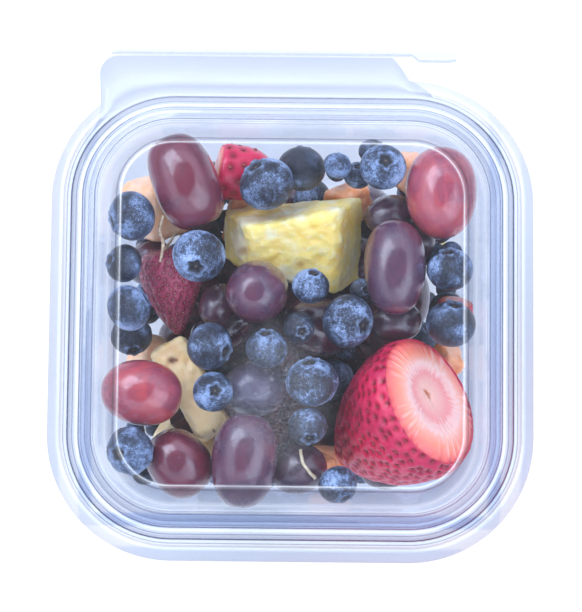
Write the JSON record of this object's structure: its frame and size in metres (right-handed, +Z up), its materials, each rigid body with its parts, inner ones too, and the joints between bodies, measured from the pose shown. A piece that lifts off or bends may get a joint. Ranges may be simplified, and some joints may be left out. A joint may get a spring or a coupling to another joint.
{
  "type": "fruit cup",
  "caption": "Clear square lidded cup with a hinged flap and tear strip, packed with blueberries, grapes, strawberry, pineapple and melon pieces.",
  "frame": {"origin": "centre of the tray's flat foot, on the surface that it stands on", "axes": "+Z up; +Y towards the flap that joins lid and tray; +X to the side where the tear strip's tail sticks out"},
  "size_m": [0.1256, 0.1327, 0.0592],
  "materials": {
    "clear_plastic": "gloss",
    "blueberry": "satin",
    "grape": "gloss",
    "strawberry": "gloss",
    "pineapple": "satin",
    "melon": "satin",
    "mixed_fruit": "satin"
  },
  "bodies": {
    "root": {"tray": "clear_plastic", "lid": "clear_plastic", "tear_strip": "clear_plastic", "blueberry_01": "blueberry", "blueberry_02": "blueberry", "blueberry_03": "blueberry", "blueberry_04": "blueberry", "blueberry_05": "blueberry", "blueberry_06": "blueberry", "blueberry_07": "blueberry", "blueberry_08": "blueberry", "blueberry_09": "blueberry", "blueberry_10": "blueberry", "blueberry_11": "blueberry", "blueberry_12": "blueberry", "blueberry_13": "blueberry", "blueberry_14": "blueberry", "blueberry_15": "blueberry", "blueberry_16": "blueberry", "blueberry_17": "blueberry", "blueberry_18": "blueberry", "blueberry_19": "blueberry", "blueberry_20": "blueberry", "blueberry_21": "blueberry", "blueberry_22": "blueberry", "blueberry_23": "blueberry", "grape_01": "grape", "grape_02": "grape", "grape_03": "grape", "grape_04": "grape", "grape_05": "grape", "grape_06": "grape", "grape_07": "grape", "grape_08": "grape", "grape_09": "grape", "grape_10": "grape", "grape_11": "grape", "grape_12": "grape", "grape_13": "grape", "strawberry_cut": "strawberry", "strawberry_whole": "strawberry", "strawberry_half": "strawberry", "strawberry_bit": "strawberry", "pineapple_01": "pineapple", "pineapple_02": "pineapple", "melon_01": "melon", "melon_02": "melon", "melon_03": "melon", "melon_04": "melon", "melon_05": "melon", "melon_06": "melon", "melon_07": "melon", "fruit_bed": "mixed_fruit"}
  },
  "joints": []
}
